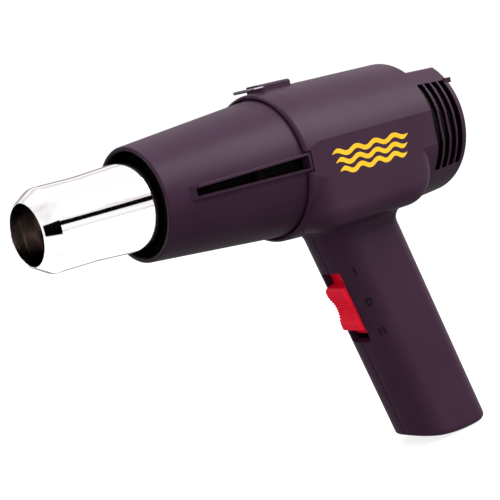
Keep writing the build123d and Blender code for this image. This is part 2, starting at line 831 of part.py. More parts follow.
# ---- Air duct ----
duct_front = tube_length
duct_cone = housing_front + duct_cone_end
duct_tail = housing_front + duct_end
collar_start = housing_front + duct_collar
duct_inner = tube_rear_radius - tube_wall
with BuildPart() as air_duct:
    add(turned([
        (duct_front, duct_inner),
        (duct_front, tube_flange_radius),
        (duct_front + duct_flange, tube_flange_radius),
        (duct_front + duct_flange, duct_inner + duct_wall),
        (duct_cone, duct_rear_radius + duct_wall),
        (duct_tail, duct_rear_radius + duct_wall),
        (duct_tail, duct_rear_radius),
        (duct_cone, duct_rear_radius),
    ]))
    collar_radius = cavity_radius - duct_collar_gap
    add(ring(collar_start, duct_collar_width, duct_rear_radius - duct_wall / 2, collar_radius))
    add(turned([
        (duct_front, 0),
        (duct_front, duct_inner),
        (duct_cone, duct_rear_radius),
        (duct_tail, duct_rear_radius),
        (duct_tail, 0),
    ]), mode=Mode.SUBTRACT)
    with BuildSketch(Plane.YZ.offset(duct_front)):
        with PolarLocations(flange_circle, tube_screw_count, start_angle=90):
            Circle(tube_screw + thread_clearance)
    extrude(amount=duct_flange, mode=Mode.SUBTRACT)
air_duct.part.label = "air_duct"
export_step(air_duct.part, "parts/air_duct.step")

with BuildPart() as nozzle_screws:
    # Three screws through the tube's flange into the duct.
    with BuildSketch(Plane.YZ.offset(tube_length - tube_flange_thickness - tube_screw_head_height)):
        with PolarLocations(flange_circle, tube_screw_count, start_angle=90):
            Circle(tube_screw_head)
    extrude(amount=tube_screw_head_height)
    with BuildSketch(Plane.YZ.offset(tube_length - tube_flange_thickness)):
        with PolarLocations(flange_circle, tube_screw_count, start_angle=90):
            Circle(tube_screw)
    extrude(amount=tube_flange_thickness + duct_flange)
nozzle_screws.part.label = "nozzle_screws"
export_step(nozzle_screws.part, "parts/nozzle_screws.step")

# ---- Fan ----
fan_middle = housing_front + fan_start + fan_width / 2
blade_length = fan_width / cos(radians(fan_pitch)) - blade_trim
blade_height = fan_radius - fan_hub_radius + blade_root + overcut
blade_place = (fan_hub_radius + fan_radius + overcut - blade_root) / 2
with BuildPart() as fan_blade:
    with Locations(Location((fan_middle, 0, blade_place), (0, 0, fan_pitch))):
        Box(blade_length, fan_blade_thickness, blade_height)

with BuildPart() as fan_impeller:
    with BuildSketch(Plane.YZ.offset(housing_front + fan_start)):
        Circle(fan_hub_radius)
    extrude(amount=fan_width)
    fillet(fan_impeller.edges().group_by(Axis.X)[0], fan_hub_edge)
    for index in range(fan_blades):
        add(fan_blade.part.rotate(Axis.X, 360 / fan_blades * index))
    add(ring(housing_front + fan_start, fan_width, 0, fan_radius), mode=Mode.INTERSECT)
    with BuildSketch(Plane.YZ.offset(housing_front + fan_start - overcut)):
        Circle(shaft_radius + press_gap)
    extrude(amount=fan_width + 2 * overcut, mode=Mode.SUBTRACT)
fan_impeller.part.label = "fan_impeller"
export_step(fan_impeller.part, "parts/fan_impeller.step")

# ---- Motor ----
can_front = housing_front + motor_start
can_rear = can_front + motor_length
bush_bore = shaft_radius + shaft_clearance
with BuildPart() as motor_can:
    add(ring(can_front, motor_length, 0, motor_radius))
    fillet(motor_can.edges().group_by(Axis.X)[0], motor_edge)
    add(ring(can_front + motor_wall, motor_length, 0, motor_radius - motor_wall), mode=Mode.SUBTRACT)
    add(ring(can_front - overcut, bush_length, 0, bush_radius), mode=Mode.SUBTRACT)
motor_can.part.label = "motor_can"
export_step(motor_can.part, "parts/motor_can.step")

with BuildPart() as motor_magnets:
    # Two arc magnets inside the can.
    outer = motor_radius - motor_wall - magnet_gap
    magnet_length = motor_length - magnet_front_gap - magnet_rear_gap
    magnet_middle = can_front + magnet_front_gap + magnet_length / 2
    for start in (90 - magnet_angle / 2, 270 - magnet_angle / 2):
        with BuildSketch(Plane.XY.rotated((start, 0, 0))):
            with Locations((magnet_middle, outer - magnet_thickness / 2)):
                Rectangle(magnet_length, magnet_thickness)
        revolve(axis=Axis.X, revolution_arc=magnet_angle)
motor_magnets.part.label = "motor_magnets"
export_step(motor_magnets.part, "parts/motor_magnets.step")

with BuildPart() as motor_end_bell:
    add(ring(can_rear, bell_thickness, bush_radius, motor_radius))
    spigot_outer = motor_radius - motor_wall - magnet_gap
    add(ring(can_rear - bell_spigot, bell_spigot, spigot_outer + magnet_gap - bell_spigot_wall, spigot_outer))
    with BuildSketch(Plane.YZ.offset(can_rear - overcut)):
        with Locations((0, bell_window_place), (0, -bell_window_place)):
            RectangleRounded(bell_window_width, bell_window_height, bell_window_corner)
    extrude(amount=bell_thickness + 2 * overcut, mode=Mode.SUBTRACT)
    rear_edges = motor_end_bell.edges().group_by(Axis.X)[-1]
    fillet(rear_edges.filter_by(lambda e: e.length > 3 * motor_radius), motor_edge)
motor_end_bell.part.label = "motor_end_bell"
export_step(motor_end_bell.part, "parts/motor_end_bell.step")

with BuildPart() as motor_bushes:
    # Sintered bushes, one in the can's front wall and one in the end bell.
    add(ring(can_front, bush_length, bush_bore, bush_radius))
    add(ring(can_rear, bush_length, bush_bore, bush_radius))
motor_bushes.part.label = "motor_bushes"
export_step(motor_bushes.part, "parts/motor_bushes.step")

with BuildPart() as motor_shaft:
    add(ring(housing_front + shaft_start, shaft_end - shaft_start, 0, shaft_radius))
    chamfer(motor_shaft.edges().group_by(Axis.X)[0] + motor_shaft.edges().group_by(Axis.X)[-1], 0.3)
motor_shaft.part.label = "motor_shaft"
export_step(motor_shaft.part, "parts/motor_shaft.step")

with BuildPart() as motor_rotor:
    # Slotted lamination stack, pressed on the shaft.
    add(ring(housing_front + rotor_start, rotor_length, shaft_radius + press_gap, rotor_radius))
    with BuildSketch(Plane.YZ.offset(housing_front + rotor_start)):
        with PolarLocations(rotor_radius - (rotor_slot_depth - overcut) / 2, rotor_slots):
            Rectangle(rotor_slot_depth + overcut, rotor_slot_width)
    extrude(amount=rotor_length, mode=Mode.SUBTRACT)
motor_rotor.part.label = "motor_rotor"
export_step(motor_rotor.part, "parts/motor_rotor.step")

with BuildPart() as commutator:
    commutator_bore = shaft_radius + press_gap
    add(ring(housing_front + commutator_start, commutator_length, commutator_bore, commutator_radius))
    with BuildSketch(Plane.YZ.offset(housing_front + commutator_start)):
        with PolarLocations(commutator_radius, rotor_slots):
            Rectangle(2 * slit_depth, slit_width)
    extrude(amount=commutator_length, mode=Mode.SUBTRACT)
commutator.part.label = "commutator"
export_step(commutator.part, "parts/commutator.step")

with BuildPart() as motor_brushes:
    # Two carbon brushes held off the can by the end bell's ring.
    inner = commutator_radius + brush_gap
    outer = motor_radius - motor_wall - brush_can_gap
    for side in (-1, 1):
        with Locations((housing_front + commutator_start + brush_place, side * (inner + outer) / 2, 0)):
            Box(brush_width, outer - inner, brush_height)
motor_brushes.part.label = "motor_brushes"
export_step(motor_brushes.part, "parts/motor_brushes.step")

with BuildPart() as motor_dampers:
    # Rubber bands between the motor and the housing's ribs.
    for start in (rib_start_front, rib_start_rear):
        damper_start = housing_front + start + (rib_width - damper_width) / 2
        add(ring(damper_start, damper_width, motor_radius + press_gap, damper_radius))
motor_dampers.part.label = "motor_dampers"
export_step(motor_dampers.part, "parts/motor_dampers.step")

with BuildPart() as rectifier_board:
    with BuildSketch(Plane.YZ.offset(housing_front + board_start)):
        Circle(board_radius)
    extrude(amount=board_thickness)
    bell_end = can_rear + bell_thickness
    leg_length = housing_front + board_start - bell_end
    for side in (-1, 1):
        with Locations((bell_end + leg_length / 2, side * board_leg_place, 0)):
            Box(leg_length, board_leg_thickness, board_leg_width)
rectifier_board.part.label = "rectifier_board"
export_step(rectifier_board.part, "parts/rectifier_board.step")

with BuildPart() as rectifier_diodes:
    top = housing_front + board_start + board_thickness + diode_radius
    for index in range(diode_count):
        z = (index - (diode_count - 1) / 2) * diode_pitch
        add(rod(Vector(top, -diode_length / 2, z), (0, 1, 0), diode_length, diode_radius))
rectifier_diodes.part.label = "rectifier_diodes"
export_step(rectifier_diodes.part, "parts/rectifier_diodes.step")

# ---- Intake screens behind the side vents ----
with BuildPart() as intake_screens:
    screen_outer = housing_rear_radius - housing_wall - screen_gap
    screen_middle = housing_front + vent_start + vent_span / 2
    for side in (-1, 1):
        with BuildSketch(Plane.XY.rotated((side * screen_half_angle, 0, 0))):
            with Locations((screen_middle, side * (screen_outer - screen_thickness / 2))):
                Rectangle(vent_span + 1, screen_thickness)
        revolve(axis=Axis.X, revolution_arc=-side * 2 * screen_half_angle)
intake_screens.part.label = "intake_screens"
export_step(intake_screens.part, "parts/intake_screens.step")

# ---- Hang ring ----
with BuildPart() as hang_ring:
    with BuildLine() as loop:
        FilletPolyline(
            (housing_front + ring_pivot_x, -ring_half_width, ring_pivot_z),
            (housing_front + ring_pivot_x - ring_reach, -ring_half_width, ring_pivot_z),
            (housing_front + ring_pivot_x - ring_reach, ring_half_width, ring_pivot_z),
            (housing_front + ring_pivot_x, ring_half_width, ring_pivot_z),
            radius=ring_corner,
            close=True,
        )
    with BuildSketch(Plane(origin=loop.line @ 0, z_dir=loop.line % 0)):
        Circle(ring_wire)
    sweep()
hang_ring.part.label = "hang_ring"
export_step(hang_ring.part, "parts/hang_ring.step")

# ---- Slide switch ----
plate_top = -rim_depth - slide_clearance
plate_length = plate_below + plate_above
plate_centre = (plate_above - plate_below) / 2
half_thumb = thumb_length / 2
half_hollow = half_thumb - thumb_knob
hollow_radius = (half_hollow ** 2 + thumb_proud ** 2) / (2 * thumb_proud)
with BuildPart() as switch_slider:
    # Base plate behind the slot's rim.
    with BuildSketch(switch_plane.offset(plate_top - plate_thickness)):
        with Locations((plate_centre, 0)):
            RectangleRounded(plate_length, 2 * plate_half_width, plate_corner)
    extrude(amount=plate_thickness)
    # Thumb piece: two end knobs with a hollow between them.
    with BuildSketch(Plane(origin=switch_plane.origin, x_dir=switch_plane.x_dir, z_dir=(0, -1, 0))):
        with BuildLine():
            Polyline(
                (half_hollow, thumb_proud),
                (half_thumb - thumb_bevel, thumb_proud),
                (half_thumb, thumb_proud - thumb_drop),
                (half_thumb, plate_top - plate_thickness / 2),
                (-half_thumb, plate_top - plate_thickness / 2),
                (-half_thumb, thumb_proud - thumb_drop),
                (-half_thumb + thumb_bevel, thumb_proud),
                (-half_hollow, thumb_proud),
            )
            ThreePointArc((-half_hollow, thumb_proud), (0, 0), (half_hollow, thumb_proud))
        make_face()
        # Fine cross ribs in the hollow.
        for index in range(thumb_rib_count):
            place = (index - (thumb_rib_count - 1) / 2) * thumb_rib_pitch
            rise = hollow_radius - sqrt(hollow_radius ** 2 - place ** 2)
            with Locations((place, rise + thumb_rib_rise)):
                Circle(thumb_rib)
    extrude(amount=slot_half_width - slide_clearance, both=True)
    # Peg that carries the moving contact.
    with BuildSketch(switch_plane.offset(plate_top - plate_thickness - peg_length)):
        Rectangle(peg_size, peg_size)
    extrude(amount=peg_length + overcut)
switch_slider.part.label = "switch_slider"
export_step(switch_slider.part, "parts/switch_slider.step")

block_top = plate_top - plate_thickness - slide_clearance
block_floor = block_top - switch_depth
with BuildPart() as switch_body:
    # Hollow switch block with a slot for the peg and ears that sit between the shells.
    with BuildSketch(switch_plane.offset(block_floor)):
        RectangleRounded(switch_length, 2 * switch_half_width, switch_corner)
    extrude(amount=switch_depth)
    with BuildSketch(switch_plane.offset(block_floor + switch_floor)):
        Rectangle(switch_length - 2 * switch_wall, 2 * (switch_half_width - switch_wall))
    extrude(amount=switch_depth - switch_floor - switch_wall, mode=Mode.SUBTRACT)
    with BuildSketch(switch_plane.offset(block_top - switch_wall - overcut)):
        Rectangle(peg_size + 2 * (switch_travel + 2 * peg_play), peg_size + 2 * peg_play)
    extrude(amount=switch_wall + 2 * overcut, mode=Mode.SUBTRACT)
    with BuildSketch(switch_plane.offset(block_floor)):
        Rectangle(ear_width, 2 * (grip_half_width - housing_wall - ear_gap))
    extrude(amount=ear_thickness)
    with BuildSketch(switch_plane.offset(block_floor - overcut)):
        with Locations(*[(place, 0) for place in terminal_places]):
            Rectangle(terminal_thickness + 2 * terminal_slot_gap, terminal_width + 2 * terminal_slot_gap)
    extrude(amount=switch_floor + 2 * overcut, mode=Mode.SUBTRACT)
switch_body.part.label = "switch_body"
export_step(switch_body.part, "parts/switch_body.step")

with BuildPart() as switch_terminals:
    with BuildSketch(switch_plane.offset(block_floor - terminal_length)):
        with Locations(*[(place, 0) for place in terminal_places]):
            Rectangle(terminal_thickness, terminal_width)
    extrude(amount=terminal_length + switch_floor + terminal_tip)
switch_terminals.part.label = "switch_terminals"
export_step(switch_terminals.part, "parts/switch_terminals.step")

with BuildPart() as switch_contact:
    # Sprung brass bridge on the peg's end.
    with BuildSketch(switch_plane.offset(plate_top - plate_thickness - peg_length - contact_thickness)):
        Rectangle(contact_length, terminal_width)
    extrude(amount=contact_thickness)
switch_contact.part.label = "switch_contact"
export_step(switch_contact.part, "parts/switch_contact.step")

# ---- Cord entry ----
with BuildPart() as cord_gland:
    add(rod(grip_point(gland_end - gland_length, 0), down, gland_length, gland_radius))
    add(rod(grip_point(gland_end - gland_length, 0), down, gland_flange, gland_flange_radius))
    bore_start = grip_point(gland_end - gland_length - overcut, 0)
    add(rod(bore_start, down, gland_length + 2 * overcut, gland_bore), mode=Mode.SUBTRACT)
cord_gland.part.label = "cord_gland"
export_step(cord_gland.part, "parts/cord_gland.step")

clamp_seat = Vector(0, gland_bore, 0)
clamp_points = [grip_point(clamp_place, -clamp_spread), grip_point(clamp_place, clamp_spread)]
with BuildPart() as cord_clamp:
    # Bar across the cord, screwed to two posts of the left shell.
    with BuildSketch(Plane(origin=grip_point(clamp_place, 0) + clamp_seat, x_dir=aft, z_dir=(0, 1, 0))):
        RectangleRounded(clamp_length, clamp_width, clamp_corner)
        with Locations((-clamp_spread, 0), (clamp_spread, 0)):
            Circle(clamp_screw + screw_clearance, mode=Mode.SUBTRACT)
    extrude(amount=clamp_thickness)
cord_clamp.part.label = "cord_clamp"
export_step(cord_clamp.part, "parts/cord_clamp.step")

with BuildPart() as clamp_screws:
    for place in clamp_points:
        head = place + clamp_seat + Vector(0, clamp_thickness, 0)
        tip = place + clamp_seat + Vector(0, -clamp_screw_reach, 0)
        add(rod(head, (0, 1, 0), clamp_screw_head_height, clamp_screw_head))
        add(rod(tip, (0, 1, 0), clamp_screw_reach + clamp_thickness, clamp_screw))
clamp_screws.part.label = "clamp_screws"
export_step(clamp_screws.part, "parts/clamp_screws.step")

# ---- Wiring ----
block_floor_across = -grip_depth / 2 - block_floor + terminal_length


def lead(points, bend):
    """A round insulated lead with rounded bends."""
    with BuildPart() as wire:
        with BuildLine() as path:
            FilletPolyline(*points, radius=bend)
        with BuildSketch(Plane(origin=path.line @ 0, z_dir=path.line % 0)):
            Circle(lead_radius)
        sweep()
    return wire.part


lead_x = housing_front + board_start + board_thickness / 2
lead_across = block_floor_across + lead_radius + lead_gap
with BuildPart() as motor_leads:
    # Two leads from the board's lower edge, through the ribs' lowest air holes, to the switch.
    for y, place in zip((-lead_half_gap, lead_half_gap), terminal_places[:2]):
        stop = slot_along + place + lead_overlap
        points = [Vector(lead_x, 0, -board_radius), Vector(lead_x, 0, -air_hole_circle)]
        points += [Vector(lead_turn_x, 0, -air_hole_circle), grip_point(lead_knee, lead_across)]
        points += [grip_point(stop, lead_across)]
        add(lead([point + Vector(0, y, 0) for point in points], lead_bend))
motor_leads.part.label = "motor_leads"
export_step(motor_leads.part, "parts/motor_leads.step")

with BuildPart() as supply_leads:
    # Two supply leads from the gland's inner end up to the switch.
    for y, place in zip((-lead_half_gap, lead_half_gap), terminal_places[2:]):
        stop = slot_along + place - lead_overlap
        points = [grip_point(clamp_place + lead_tail, 0), grip_point(lead_foot + lead_rise, 0)]
        points += [grip_point(lead_foot, lead_across), grip_point(stop, lead_across)]
        add(lead([point + Vector(0, y, 0) for point in points], lead_bend))
supply_leads.part.label = "supply_leads"
export_step(supply_leads.part, "parts/supply_leads.step")

# ---- Housing screws ----
with BuildPart() as housing_screws:
    for place in screw_places():
        add(rod(place + Vector(0, well_floor, 0), (0, 1, 0), screw_head_height, screw_head))
        add(rod(place + Vector(0, -screw_reach, 0), (0, 1, 0), screw_reach + well_floor, screw_shank))
housing_screws.part.label = "housing_screws"
export_step(housing_screws.part, "parts/housing_screws.step")
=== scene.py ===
import math

import bmesh
import bpy
from mathutils import Matrix, Vector


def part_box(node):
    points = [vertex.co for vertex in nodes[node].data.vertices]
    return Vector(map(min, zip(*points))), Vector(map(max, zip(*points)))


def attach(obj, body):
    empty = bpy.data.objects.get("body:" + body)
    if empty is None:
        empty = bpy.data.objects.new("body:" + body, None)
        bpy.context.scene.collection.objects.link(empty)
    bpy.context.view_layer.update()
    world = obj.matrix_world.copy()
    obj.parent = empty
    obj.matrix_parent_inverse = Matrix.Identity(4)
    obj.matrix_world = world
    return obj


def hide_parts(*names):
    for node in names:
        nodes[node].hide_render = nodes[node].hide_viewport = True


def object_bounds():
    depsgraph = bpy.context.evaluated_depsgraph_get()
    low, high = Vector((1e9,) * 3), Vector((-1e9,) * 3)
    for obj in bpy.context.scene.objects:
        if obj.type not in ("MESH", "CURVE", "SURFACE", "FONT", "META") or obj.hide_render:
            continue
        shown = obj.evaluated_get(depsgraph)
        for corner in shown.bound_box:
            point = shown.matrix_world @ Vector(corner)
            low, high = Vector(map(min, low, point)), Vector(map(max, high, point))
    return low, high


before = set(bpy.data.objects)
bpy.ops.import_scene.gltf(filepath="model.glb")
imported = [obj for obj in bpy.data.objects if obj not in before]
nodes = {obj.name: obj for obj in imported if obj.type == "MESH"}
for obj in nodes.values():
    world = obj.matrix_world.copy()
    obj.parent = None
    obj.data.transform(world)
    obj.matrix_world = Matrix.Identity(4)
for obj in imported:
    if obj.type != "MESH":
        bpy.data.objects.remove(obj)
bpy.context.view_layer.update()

# ---- Housing shells ----
# Two glass-filled nylon half shells that make the barrel, the saddle over the motor and the handle.
# They are injection moulded in plum-black and leave the tool with a fine spark-eroded grain.


def noise(tree, scale, detail=2.0, stretch=(1.0, 1.0, 1.0)):
    """A noise texture on the piece's own object coordinates, with its pattern size set by scale."""
    place = tree.nodes.new("ShaderNodeTexCoord")
    turn = tree.nodes.new("ShaderNodeMapping")
    turn.inputs["Scale"].default_value = stretch
    grain = tree.nodes.new("ShaderNodeTexNoise")
    grain.inputs["Scale"].default_value = scale
    grain.inputs["Detail"].default_value = detail
    tree.links.new(place.outputs["Object"], turn.inputs["Vector"])
    tree.links.new(turn.outputs["Vector"], grain.inputs["Vector"])
    return grain


def spread(tree, source, low, high, start=0.3, end=0.7):
    """Stretches a pattern's middle values between two numbers."""
    ranged = tree.nodes.new("ShaderNodeMapRange")
    for socket, value in zip(("From Min", "From Max", "To Min", "To Max"), (start, end, low, high)):
        ranged.inputs[socket].default_value = value
    tree.links.new(source, ranged.inputs["Value"])
    return ranged.outputs["Result"]


def blend_colours(tree, source, first, second):
    """Mixes two colours by a pattern that runs from 0 to 1."""
    mix = tree.nodes.new("ShaderNodeMix")
    mix.data_type = "RGBA"
    mix.inputs["A"].default_value = (*first, 1.0)
    mix.inputs["B"].default_value = (*second, 1.0)
    tree.links.new(source, mix.inputs["Factor"])
    return mix.outputs["Result"]


def raise_surface(tree, height, depth, strength=1.0):
    """Bumps the surface by a pattern, depth metres from its lowest to its highest value."""
    bump = tree.nodes.new("ShaderNodeBump")
    bump.inputs["Strength"].default_value = strength
    bump.inputs["Distance"].default_value = depth
    tree.links.new(height, bump.inputs["Height"])
    return bump.outputs["Normal"]


def finish(name, first, second, rough, grain=1500.0, depth=0.00002, patch=40.0,
           stretch=(1.0, 1.0, 1.0), metal=0.0, specular=0.5):
    """A surface whose colour and roughness drift in patches over a fine grain. Returns its material."""
    material = bpy.data.materials.new(name)
    material.use_nodes = True
    tree = material.node_tree
    shader = tree.nodes["Principled BSDF"]
    shader.inputs["Metallic"].default_value = metal
    shader.inputs["Specular IOR Level"].default_value = specular
    drift = noise(tree, patch, 3.0)
    fine = noise(tree, grain, 2.0, stretch)
    shade = spread(tree, drift.outputs["Fac"], 0.0, 1.0)
    tree.links.new(blend_colours(tree, shade, first, second), shader.inputs["Base Color"])
    tree.links.new(spread(tree, fine.outputs["Fac"], *rough), shader.inputs["Roughness"])
    tree.links.new(raise_surface(tree, fine.outputs["Fac"], depth), shader.inputs["Normal"])
    return material


def dress(material, *names):
    """Gives CAD nodes this material as their only finish."""
    for name in names:
        mesh = nodes[name].data
        mesh.materials.clear()
        mesh.materials.append(material)


housing_plastic = finish("plum_black_nylon", (0.036, 0.0125, 0.030), (0.043, 0.0160, 0.036), (0.38, 0.48),
                         grain=2600.0, depth=0.000018, patch=30.0, specular=0.13)


def axis_distance(tree):
    """A surface point's distance from the barrel axis, place along it, upward share and side place."""
    place = tree.nodes.new("ShaderNodeTexCoord")
    split = tree.nodes.new("ShaderNodeSeparateXYZ")
    across = tree.nodes.new("ShaderNodeCombineXYZ")
    size = tree.nodes.new("ShaderNodeVectorMath")
    size.operation = "LENGTH"
    sideways = tree.nodes.new("ShaderNodeVectorMath")
    sideways.operation = "NORMALIZE"
    share = tree.nodes.new("ShaderNodeSeparateXYZ")
    tree.links.new(place.outputs["Object"], split.inputs["Vector"])
    tree.links.new(split.outputs["Y"], across.inputs["Y"])
    tree.links.new(split.outputs["Z"], across.inputs["Z"])
    tree.links.new(across.outputs["Vector"], size.inputs[0])
    tree.links.new(across.outputs["Vector"], sideways.inputs[0])
    tree.links.new(sideways.outputs["Vector"], share.inputs["Vector"])
    return size.outputs["Value"], split.outputs["X"], share.outputs["Z"], split.outputs["Y"]


def calculate(tree, operation, first, second):
    """Combines two values, each a socket or a number."""
    maths = tree.nodes.new("ShaderNodeMath")
    maths.operation = operation
    for socket, value in zip(maths.inputs, (first, second)):
        if isinstance(value, (int, float)):
            socket.default_value = value
        else:
            tree.links.new(value, socket)
    return maths.outputs["Value"]


def darken(material, lit_share, shade_tone):
    """Paints shade into a finish: mixes in a near-black colour where the lit pattern falls to nought."""
    tree = material.node_tree
    shader = tree.nodes["Principled BSDF"]
    mix = tree.nodes.new("ShaderNodeMix")
    mix.data_type = "RGBA"
    mix.inputs["A"].default_value = (*shade_tone, 1.0)
    tree.links.new(lit_share, mix.inputs["Factor"])
    tree.links.new(shader.inputs["Base Color"].links[0].from_socket, mix.inputs["B"])
    tree.links.new(mix.outputs["Result"], shader.inputs["Base Color"])


# Painted shade: the vents' slots and the wall around them on the inside are painted near black, as the shade
# inside the barrel.
# The barrel tapers behind taper_start and its sides are cut flat at side_flat.
barrel_radius = 0.0385
taper_start = 0.2207
taper_slope = -0.0638
side_flat = 0.0374
vents = housing_plastic.node_tree
radius, along, upward, sideways = axis_distance(vents)
taper = calculate(vents, "MULTIPLY", calculate(vents, "SUBTRACT", along, taper_start), taper_slope)
round_depth = calculate(vents, "SUBTRACT", calculate(vents, "ADD", taper, barrel_radius), radius)
flat_depth = calculate(vents, "SUBTRACT", side_flat, calculate(vents, "ABSOLUTE", sideways, 0.0))
skin_depth = calculate(vents, "MINIMUM", round_depth, flat_depth)
outside = spread(vents, skin_depth, 1.0, 0.0, start=0.0003, end=0.0008)
steepness = calculate(vents, "ABSOLUTE", upward, 0.0)
above_or_below = spread(vents, steepness, 0.0, 1.0, start=0.64, end=0.66)
behind_vents = spread(vents, along, 0.0, 1.0, start=0.2424, end=0.2430)
before_vents = spread(vents, along, 1.0, 0.0, start=0.2180, end=0.2186)
lit_wall = outside
for lit_zone in (above_or_below, behind_vents, before_vents):
    lit_wall = calculate(vents, "MAXIMUM", lit_wall, lit_zone)
# Paints the shade near black inside the barrel round the vents.
darken(housing_plastic, lit_wall, (0.0020, 0.0014, 0.0018))
dress(housing_plastic, "left_housing_shell", "right_housing_shell")

# ---- Heat waves on the side ----
# Three wavy bars in warm yellow ink, pad printed on the flat of the left shell as a sign for hot air.
# The ink lies a tenth of a millimetre proud and is a little glossier than the plastic.
ink = finish("yellow_pad_ink", (0.93, 0.55, 0.020), (0.87, 0.49, 0.016), (0.34, 0.46), grain=3000.0,
             depth=0.000006, patch=120.0, specular=0.2)
waves = bmesh.new()
shell_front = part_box("left_housing_shell")[0].x
wave_steps = 96
wave_count = 4.0
wave_swing = 0.00105
bar_half = 0.00118
first_bar_z = 0.0008
bar_pitch = 0.0046
ink_proud = 0.00012
ink_root = 0.00005
for row, (start, length) in enumerate(((0.0165, 0.0535), (0.0180, 0.0505), (0.0195, 0.0475))):
    rim = []
    for step in range(wave_steps + 1):
        share = step / wave_steps
        swing = math.sin(share * wave_count * math.tau)
        lean = wave_count * math.tau * wave_swing / length * math.cos(share * wave_count * math.tau)
        half = bar_half * min(1.0, math.sin(math.pi * share) * 4.0 + 0.12) / math.cos(math.atan(lean))
        middle = first_bar_z - row * bar_pitch + wave_swing * swing
        rim.append((shell_front + start + share * length, middle, half))
    for y_out, flip in ((-side_flat - ink_proud, False), (-side_flat + ink_root, True)):
        tops = [waves.verts.new((x, y_out, z + half)) for x, z, half in rim]
        lows = [waves.verts.new((x, y_out, z - half)) for x, z, half in rim]
        for index in range(wave_steps):
            face = [lows[index], lows[index + 1], tops[index + 1], tops[index]]
            waves.faces.new(face[::-1] if flip else face)
        if not flip:
            front_tops, front_lows = tops, lows
    for here in range(wave_steps):
        there = here + 1
        waves.faces.new((front_tops[here], front_tops[there], tops[there], tops[here]))
        waves.faces.new((front_lows[there], front_lows[here], lows[here], lows[there]))
    for end in (0, -1):
        waves.faces.new((front_tops[end], front_lows[end], lows[end], tops[end]))
bmesh.ops.recalc_face_normals(waves, faces=waves.faces)


def piece(name, shape, material, body, smooth=True):
    """Turns a bmesh into a finished piece that rides on a body."""
    mesh = bpy.data.meshes.new(name)
    shape.to_mesh(mesh)
    shape.free()
    made = bpy.data.objects.new(name, mesh)
    bpy.context.scene.collection.objects.link(made)
    mesh.materials.append(material)
    mesh.polygons.foreach_set("use_smooth", [smooth] * len(mesh.polygons))
    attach(made, body)
    return made


heat_waves = piece("heat_waves", waves, ink, "tool", smooth=False)

# ---- Switch marks ----
# Raised marks for off, low and high, moulded on the handle's rounded front corner beside the slider.
grip_lean = math.radians(16.2)
grip_down = Vector((math.sin(grip_lean), 0.0, -math.cos(grip_lean)))
grip_aft = Vector((math.cos(grip_lean), 0.0, math.sin(grip_lean)))
grip_top = Vector((shell_front + 0.0375, 0.0, 0.0))
corner_radius = 0.0145
corner_across = -0.010
corner_outward = -0.002
marks_turn = math.radians(52.0)
stroke_half = 0.00042
stroke_proud = 0.00035
stroke_root = -0.0002


def on_corner(along, around, proud):
    """A point down the handle and round its left front corner, a little proud of the plastic."""
    turned = marks_turn + around / corner_radius
    across = corner_across - (corner_radius + proud) * math.cos(turned)
    outward = corner_outward - (corner_radius + proud) * math.sin(turned)
    return grip_top + grip_down * along + grip_aft * across + Vector((0.0, outward, 0.0))


def stroke(shape, path, closed):
    """A raised stroke of even width along a path on the corner."""
    rows = []
    for index, (along, around) in enumerate(path):
        before = path[index - 1] if index or closed else path[index]
        after = path[(index + 1) % len(path)] if closed or index + 1 < len(path) else path[index]
        lean = Vector((after[0] - before[0], after[1] - before[1])).normalized() * stroke_half
        row = []
        for side, proud in ((1, stroke_proud), (-1, stroke_proud), (-1, stroke_root), (1, stroke_root)):
            row.append(shape.verts.new(on_corner(along - side * lean.y, around + side * lean.x, proud)))
        rows.append(row)
    for first, second in zip(rows, rows[1:] + (rows[:1] if closed else [])):
        for index in range(4):
            other = (index + 1) % 4
            shape.faces.new((first[index], first[other], second[other], second[index]))
    if not closed:
        shape.faces.new(rows[0])
        shape.faces.new(rows[-1][::-1])


marks = bmesh.new()
mark_half = 0.0020
oval_place = 0.0784
oval_half_width = 0.0014
oval_steps = 28
for place, offsets in ((0.0599, (0.0,)), (0.0962, (-0.0012, 0.0012))):
    for offset in offsets:
        stroke(marks, [(place - mark_half, offset), (place, offset), (place + mark_half, offset)], False)
oval = []
for index in range(oval_steps):
    turned = math.tau * index / oval_steps
    oval.append((oval_place + mark_half * math.cos(turned), oval_half_width * math.sin(turned)))
stroke(marks, oval, True)
bmesh.ops.recalc_face_normals(marks, faces=marks.faces)
rubbed = finish("grime_darkened_nylon", (0.008, 0.003, 0.007), (0.014, 0.006, 0.012), (0.4, 0.55),
                grain=2600.0, depth=0.00001, patch=60.0, specular=0.13)
switch_marks = piece("switch_marks", marks, rubbed, "tool", smooth=False)

# ---- Front shroud ----
# One-piece moulded cone that keeps fingers off the hot tube; same nylon as the housing, from another mould.
# Its slot frames stand a little proud and let warm air escape beside the tube.
shroud_plastic = finish("plum_black_shroud_nylon", (0.033, 0.0115, 0.028), (0.040, 0.0150, 0.034),
                        (0.38, 0.48), grain=2300.0, depth=0.000018, patch=26.0, specular=0.13)
# Painted shade: the recess around the tube is painted near black, as the shade that falls in it.
recess = shroud_plastic.node_tree
lit_shroud = spread(recess, axis_distance(recess)[0], 0.0, 1.0, start=0.0260, end=0.0275)
darken(shroud_plastic, lit_shroud, (0.0015, 0.0010, 0.0012))
dress(shroud_plastic, "front_shroud")
